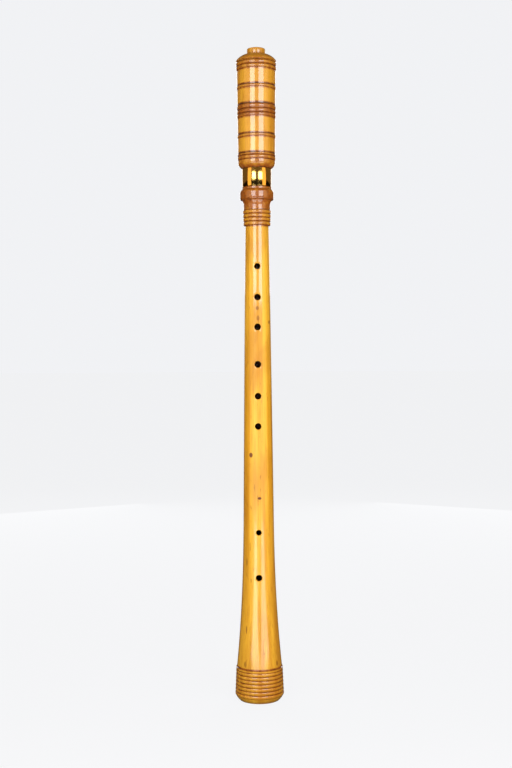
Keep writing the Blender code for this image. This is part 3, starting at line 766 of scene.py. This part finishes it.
class Graph:
    """A node material under construction, over the object's own coordinates."""

    def __init__(self, name):
        self.material = bpy.data.materials.new(name)
        self.material.use_nodes = True
        self.nodes = self.material.node_tree.nodes
        self.links = self.material.node_tree.links
        self.shader = self.nodes["Principled BSDF"]
        self.place = self.nodes.new("ShaderNodeTexCoord").outputs["Object"]

    def feed(self, socket, source):
        if isinstance(source, bpy.types.NodeSocket):
            self.links.new(source, socket)
        else:
            socket.default_value = source

    def surface(self, name, source):
        self.feed(self.shader.inputs[name], source)

    def mapped(self, scale, offset):
        node = self.nodes.new("ShaderNodeMapping")
        self.links.new(self.place, node.inputs["Vector"])
        node.inputs["Scale"].default_value = scale
        node.inputs["Location"].default_value = offset
        return node.outputs["Vector"]

    def noise(self, scale, detail, roughness, distortion=0.0, offset=(0.0, 0.0, 0.0)):
        """Noise with that many features per metre along each axis."""
        node = self.nodes.new("ShaderNodeTexNoise")
        self.links.new(self.mapped(scale, offset), node.inputs["Vector"])
        node.inputs["Scale"].default_value = 1.0
        node.inputs["Detail"].default_value = detail
        node.inputs["Roughness"].default_value = roughness
        node.inputs["Distortion"].default_value = distortion
        return node.outputs["Fac"]

    def span(self, value, low, high, to_low=0.0, to_high=1.0):
        node = self.nodes.new("ShaderNodeMapRange")
        node.interpolation_type = "SMOOTHSTEP"
        self.feed(node.inputs["Value"], value)
        node.inputs["From Min"].default_value = low
        node.inputs["From Max"].default_value = high
        node.inputs["To Min"].default_value = to_low
        node.inputs["To Max"].default_value = to_high
        return node.outputs["Result"]

    def times(self, first, second):
        node = self.nodes.new("ShaderNodeMath")
        node.operation = "MULTIPLY"
        self.feed(node.inputs[0], first)
        self.feed(node.inputs[1], second)
        return node.outputs["Value"]

    def mix(self, factor, first, second):
        """Sockets 6, 7 and 2 are the colours of the mix node, whose names it gives more than once."""
        node = self.nodes.new("ShaderNodeMix")
        node.data_type = "RGBA"
        self.feed(node.inputs["Factor"], factor)
        self.feed(node.inputs[6], first)
        self.feed(node.inputs[7], second)
        return node.outputs[2]

    def layer(self, under, value, low, high, strength, over):
        """Lays one colour over another as a value rises from low to high."""
        return self.mix(self.span(value, low, high, 0.0, strength), under, over)

    def attribute(self, name):
        node = self.nodes.new("ShaderNodeAttribute")
        node.attribute_name = name
        return node.outputs["Fac"]

    def height(self):
        node = self.nodes.new("ShaderNodeSeparateXYZ")
        self.links.new(self.place, node.inputs["Vector"])
        return node.outputs["Z"]

    def spot(self, centre, width, height):
        """1 in a spot's core, falling to 0 at its edge."""
        scale = (1 / width, 1 / width, 1 / height)
        offset = tuple(-c * s for c, s in zip(centre, scale))
        node = self.nodes.new("ShaderNodeVectorMath")
        node.operation = "LENGTH"
        self.links.new(self.mapped(scale, offset), node.inputs[0])
        return self.span(node.outputs["Value"], SPOT_CORE, 1.0, 1.0, 0.0)

    def bump(self, value, distance, strength):
        node = self.nodes.new("ShaderNodeBump")
        node.inputs["Strength"].default_value = strength
        node.inputs["Distance"].default_value = distance
        self.links.new(value, node.inputs["Height"])
        self.links.new(node.outputs["Normal"], self.shader.inputs["Normal"])


def varnished_wood(name, offset, spots):
    """Honey-coloured fruitwood under a clear gloss varnish, dark in its turned grooves with stain and
    painted shade.
    """
    graph = Graph(name)
    streaks = graph.noise((150.0, 150.0, 4.5), 6.0, 0.6, 0.4, offset)
    clouds = graph.noise((42.0, 42.0, 11.0), 3.0, 0.5, 0.6, offset)
    fibres = graph.noise((1500.0, 1500.0, 28.0), 3.0, 0.6, 0.0, offset)
    flecks = graph.noise((700.0, 700.0, 120.0), 2.0, 0.5, 0.0, offset)
    colour = graph.layer(PALE_STREAK, streaks, 0.34, 0.66, 1.0, HONEY)
    colour = graph.layer(colour, clouds, 0.42, 0.72, 0.80, AMBER)
    colour = graph.layer(colour, fibres, 0.50, 0.72, 0.50, FIBRE_BROWN)
    colour = graph.layer(colour, flecks, 0.64, 0.76, 0.60, FLECK_BROWN)
    # The wood deepens a little down to the bell, and more up in the windcap
    deeper = graph.span(graph.height(), 0.0, 0.42, 0.16, 0.0)
    colour = graph.mix(deeper, colour, DEEP_HONEY)
    colour = graph.layer(colour, graph.height(), 0.42, 0.50, 0.42, DEEP_HONEY)
    for centre, width, height, strength in spots:
        mask = graph.times(graph.spot(centre, width, height), strength)
        colour = graph.mix(mask, colour, KNOT_BROWN)
    blotches = graph.noise((260.0, 260.0, 150.0), 4.0, 0.6, 0.5, offset)
    unevenness = graph.span(blotches, 0.35, 0.65, 0.72, 1.22)
    # The stain attribute darkens the wood with stain and with painted shade: grooves, bead flanks,
    # under the collar, the bores and the holes' walls
    stain_and_shade = graph.times(graph.attribute("stain_and_shade"), unevenness)
    colour = graph.layer(colour, stain_and_shade, 0.0, 0.5, 1.0, STAIN_AND_SHADE_BROWN)
    colour = graph.layer(colour, stain_and_shade, 0.45, 1.0, 0.95, GROOVE_DIRT_AND_SHADE)
    graph.surface("Base Color", colour)
    graph.surface("Roughness", 0.42)
    graph.surface("Coat Weight", 1.0)
    graph.surface("Coat Roughness", 0.06)
    graph.surface("Coat IOR", COAT_IOR)
    graph.bump(fibres, 0.00003, 0.35)
    return graph.material


def turned_brass(name, tone, roughness, lines):
    """Brass with fine lathe lines, that many per metre, and a little tarnish."""
    graph = Graph(name)
    lathe = graph.noise((60.0, 60.0, lines), 2.0, 0.6)
    tarnish = graph.noise((220.0, 220.0, 220.0), 4.0, 0.6)
    dull = (tone[0] * 0.62, tone[1] * 0.52, tone[2] * 0.40, 1)
    graph.surface("Base Color", graph.layer((*tone, 1), tarnish, 0.45, 0.75, 0.45, dull))
    graph.surface("Metallic", 1.0)
    graph.surface("Roughness", graph.span(tarnish, 0.3, 0.8, roughness, roughness + 0.12))
    graph.bump(lathe, 0.00002, 0.3)
    return graph.material


def waxed_thread(name, tone):
    """Waxed thread: twisted strands with a dull shine."""
    graph = Graph(name)
    strands = graph.noise((2600.0, 2600.0, 900.0), 3.0, 0.6, 1.5)
    wear = graph.noise((300.0, 300.0, 300.0), 3.0, 0.6)
    dark = tuple(channel * 0.4 for channel in tone)
    colour = graph.layer((*tone, 1), strands, 0.35, 0.7, 1.0, (*dark, 1))
    colour = graph.layer(colour, wear, 0.5, 0.8, 0.3, WORN_THREAD)
    graph.surface("Base Color", colour)
    graph.surface("Roughness", 0.6)
    graph.surface("Sheen Weight", 0.2)
    graph.bump(strands, 0.00005, 0.6)
    return graph.material


def natural_cork():
    """Cork with dark pores and paler grains."""
    graph = Graph("natural_cork_look")
    grains = graph.noise((520.0, 520.0, 520.0), 5.0, 0.6)
    pores = graph.noise((900.0, 900.0, 380.0), 2.0, 0.5)
    colour = graph.layer(PALE_CORK, grains, 0.35, 0.7, 1.0, DARK_CORK)
    colour = graph.layer(colour, pores, 0.62, 0.72, 0.9, CORK_PORE)
    graph.surface("Base Color", colour)
    graph.surface("Roughness", 0.9)
    graph.bump(grains, 0.0001, 0.5)
    return graph.material


def reed_cane():
    """Cane with long fibres, glossy bark at the root and a pale scrape at the tip."""
    graph = Graph("reed_cane_look")
    fibres = graph.noise((3200.0, 3200.0, 60.0), 4.0, 0.6)
    patches = graph.noise((260.0, 260.0, 90.0), 3.0, 0.5)
    scraped = graph.span(graph.height(), BINDING_TOP_Z + 0.007, BINDING_TOP_Z + 0.011)
    colour = graph.mix(scraped, CANE_BARK, CANE_SCRAPE)
    colour = graph.layer(colour, fibres, 0.4, 0.75, 0.55, CANE_FIBRE)
    colour = graph.layer(colour, patches, 0.5, 0.8, 0.3, CANE_PATCH)
    graph.surface("Base Color", colour)
    graph.surface("Roughness", graph.span(scraped, 0.0, 1.0, 0.35, 0.7))
    graph.bump(fibres, 0.00004, 0.5)
    return graph.material


def stand_in(obj, node, body):
    """The fine piece takes the place of a CAD node on its body."""
    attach(obj, body)
    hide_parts(node)


def make_turned(name, node, body, outline, bore, steps, material):
    obj = spin(name, outline, bore, steps, material)
    finish_mesh(obj, profile_stain_and_shade(outline, bore))
    stand_in(obj, node, body)


def plain(points):
    """Adds no stain to the points of a piece that isn't wood."""
    return [(radius, z, 0.0) for radius, z in points]


def make_pipe(wood):
    outline = pipe_outline()
    bore = pipe_bore()
    pipe = spin("turned_pipe", outline, bore, TURN_STEPS, wood)
    finish_mesh(pipe)
    drill_holes(pipe)
    finish_mesh(pipe, profile_stain_and_shade(outline, bore))
    stand_in(pipe, "pipe_body", "pipe")


def make_cap(wood):
    make_turned(
        "cap_barrel", "windcap_barrel", "windcap",
        barrel_outline(), barrel_bore(), TURN_STEPS, wood,
    )
    make_turned(
        "cap_head", "windcap_head", "windcap",
        head_outline(), head_bore(), TURN_STEPS, wood,
    )


def make_ferrule(brass):
    outline = plain([
        (FERRULE_LOW_R - FERRULE_EDGE, CAP_Z),
        (FERRULE_LOW_R - FERRULE_CORNER, CAP_Z + FERRULE_CORNER),
        (FERRULE_LOW_R, CAP_Z + FERRULE_EDGE),
        (FERRULE_HIGH_R, FERRULE_TOP_Z - FERRULE_EDGE),
        (FERRULE_HIGH_R - FERRULE_CORNER, FERRULE_TOP_Z - FERRULE_CORNER),
        (FERRULE_HIGH_R - FERRULE_EDGE, FERRULE_TOP_Z),
    ])
    bore = plain([(FERRULE_BORE_R, CAP_Z), (FERRULE_BORE_R, FERRULE_TOP_Z)])
    make_turned(
        "ferrule", "windcap_ferrule", "windcap", outline, bore, TURN_STEPS, brass
    )


def make_lapping(thread):
    low_z = SEAT_Z + TENON_END + GAP
    high_z = TENON_TOP_Z - TENON_END - GAP
    inner_r = LAPPING_R - LAPPING_THICKNESS
    lapping = wound("lapping", low_z, high_z, inner_r, LAPPING_R, LAPPING_RIB, TURN_STEPS, thread)
    stand_in(lapping, "tenon_lapping", "pipe")


def make_reed(brass, cane, thread, cork):
    outline = plain([(STAPLE_FOOT_R, STAPLE_Z), (STAPLE_TOP_R, STAPLE_TOP_Z)])
    bore = plain([(radius - STAPLE_WALL, z) for radius, z, _ in outline])
    make_turned("staple", "reed_staple", "reed", outline, bore, SMALL_STEPS, brass)
    outline = plain([
        (CORK_R - CORK_EDGE, STAPLE_Z),
        (CORK_R, STAPLE_Z + CORK_EDGE),
        (CORK_R, CORK_TOP_Z - CORK_EDGE),
        (CORK_R - CORK_EDGE, CORK_TOP_Z),
    ])
    bore = plain([(staple_r(z) + GAP, z) for z in (STAPLE_Z, CORK_TOP_Z)])
    make_turned("cork_sleeve", "staple_cork", "reed", outline, bore, SMALL_STEPS, cork)
    stand_in(reed_blade("blade_front", -1, cane), "reed_blade_front", "reed")
    stand_in(reed_blade("blade_back", 1, cane), "reed_blade_back", "reed")
    inner_r = staple_r(BLADE_Z) + GAP + BLADE_THICKNESS + GAP
    outer_r = inner_r + BINDING_THICKNESS
    winding = wound(
        "binding", BINDING_Z, BINDING_TOP_Z, inner_r, outer_r, BINDING_RIB, SMALL_STEPS, thread
    )
    stand_in(winding, "reed_binding", "reed")
    stand_in(reed_wire(brass), "reed_wire", "reed")


def area_light(name, centre, rotation, width, height, radiance, colour):
    """A rectangular light that the camera doesn't see."""
    data = bpy.data.lights.new(name, "AREA")
    data.shape = "RECTANGLE"
    data.size = width
    data.size_y = height
    data.energy = radiance * width * height * math.pi
    data.color = colour
    light = bpy.data.objects.new(name, data)
    light.location = centre
    light.rotation_euler = rotation
    light.visible_camera = False
    bpy.context.scene.collection.objects.link(light)
    return light


def softbox(name, azimuth, span, low, high, distance, radiance, colour):
    """An upright light that faces the pipe's axis and looks that wide from it."""
    angle = math.radians(azimuth)
    middle = (low + high) / 2
    centre = (distance * math.sin(angle), -distance * math.cos(angle), middle)
    facing = Vector((0.0, 0.0, middle)) - Vector(centre)
    rotation = facing.to_track_quat("-Z", "Y").to_euler()
    width = 2 * distance * math.tan(math.radians(span) / 2)
    return area_light(name, centre, rotation, width, high - low, radiance, colour)


def floor_light(name, azimuth, span, near, far, radiance):
    """A light that lies on the floor in front of the pipe, as the floor's bright patch there."""
    angle = math.radians(azimuth)
    middle = (near + far) / 2
    centre = (middle * math.sin(angle), -middle * math.cos(angle), FLOOR_LIGHT_Z)
    width = 2 * middle * math.tan(math.radians(span) / 2)
    area_light(name, centre, (math.pi, 0.0, angle), width, far - near, radiance, WHITE)


def make_lights():
    for name, row in SOFTBOXES.items():
        softbox(name, *row)
    for name, row in FLOOR_LIGHTS.items():
        floor_light(name, *row)
    for name, row in FILLS.items():
        softbox(name, *row).visible_glossy = False


def make_world():
    """Pale to the camera, and to the object a dim, warm room."""
    world = bpy.data.worlds.new("studio")
    bpy.context.scene.world = world
    world.use_nodes = True
    nodes = world.node_tree.nodes
    links = world.node_tree.links
    background = nodes["Background"]
    background.inputs["Color"].default_value = BACKDROP
    room = nodes.new("ShaderNodeBackground")
    room.inputs["Color"].default_value = ROOM
    path = nodes.new("ShaderNodeLightPath")
    level = nodes.new("ShaderNodeMapRange")
    links.new(path.outputs["Is Diffuse Ray"], level.inputs["Value"])
    level.inputs["To Min"].default_value = ROOM_IN_REFLECTIONS
    level.inputs["To Max"].default_value = ROOM_ON_MATT
    links.new(level.outputs["Result"], room.inputs["Strength"])
    mix = nodes.new("ShaderNodeMixShader")
    links.new(path.outputs["Is Camera Ray"], mix.inputs["Fac"])
    links.new(room.outputs["Background"], mix.inputs[1])
    links.new(background.outputs["Background"], mix.inputs[2])
    links.new(mix.outputs["Shader"], nodes["World Output"].inputs["Surface"])


def make_floor():
    """A pale floor that melts into the background, takes a faint shadow and lights the pipe."""
    mesh = bpy.data.meshes.new("floor")
    reach = FLOOR_REACH
    corners = [(-reach, -reach, 0.0), (reach, -reach, 0.0), (reach, reach, 0.0), (-reach, reach, 0.0)]
    mesh.from_pydata(corners, [], [(0, 1, 2, 3)])
    floor = bpy.data.objects.new("floor", mesh)
    bpy.context.scene.collection.objects.link(floor)
    material = bpy.data.materials.new("pale_floor")
    material.use_nodes = True
    nodes = material.node_tree.nodes
    links = material.node_tree.links
    shader = nodes["Principled BSDF"]
    shader.inputs["Base Color"].default_value = FLOOR_GREY
    shader.inputs["Roughness"].default_value = 0.9
    shader.inputs["Specular IOR Level"].default_value = 0.0
    glow = nodes.new("ShaderNodeEmission")
    glow.inputs["Color"].default_value = FLOOR_GLOW
    path = nodes.new("ShaderNodeLightPath")
    # The glow is full to the camera, weaker to the pipe's matt colour and off in reflections
    strength = nodes.new("ShaderNodeMath")
    strength.operation = "MULTIPLY_ADD"
    links.new(path.outputs["Is Diffuse Ray"], strength.inputs[0])
    strength.inputs[1].default_value = FLOOR_BOUNCE
    links.new(path.outputs["Is Camera Ray"], strength.inputs[2])
    links.new(strength.outputs["Value"], glow.inputs["Strength"])
    total = nodes.new("ShaderNodeAddShader")
    links.new(shader.outputs["BSDF"], total.inputs[0])
    links.new(glow.outputs["Emission"], total.inputs[1])
    links.new(total.outputs["Shader"], nodes["Material Output"].inputs["Surface"])
    mesh.materials.append(material)


def make_camera():
    data = bpy.data.cameras.new("camera")
    data.sensor_width = SENSOR
    data.lens = SENSOR * FOCAL_PIXELS / IMAGE_HEIGHT
    data.shift_x = SIDE_SHIFT
    data.shift_y = HORIZON_SHIFT
    data.clip_start = 0.01
    camera = bpy.data.objects.new("camera", data)
    camera.location = (0.0, -CAMERA_DISTANCE, HORIZON_HEIGHT)
    camera.rotation_euler = (math.pi / 2, CAMERA_ROLL, 0.0)
    bpy.context.scene.collection.objects.link(camera)
    bpy.context.scene.camera = camera


make_camera()
make_world()
make_floor()
make_lights()
bpy.context.scene.view_settings.view_transform = "Standard"

pipe_wood = varnished_wood("pipe_wood_look", (0.0, 0.0, 0.0), SPOTS)
cap_wood = varnished_wood("windcap_wood_look", CAP_WOOD_OFFSET, [])
ferrule_brass = turned_brass("ferrule_brass_look", POLISHED_BRASS, 0.08, 9000.0)
staple_brass = turned_brass("staple_brass_look", DULL_BRASS, 0.25, 6000.0)
lapping_thread = waxed_thread("lapping_thread_look", RED_THREAD)
reed_thread = waxed_thread("reed_thread_look", DARK_THREAD)

make_pipe(pipe_wood)
make_cap(cap_wood)
make_ferrule(ferrule_brass)
make_lapping(lapping_thread)
make_reed(staple_brass, reed_cane(), reed_thread, natural_cork())
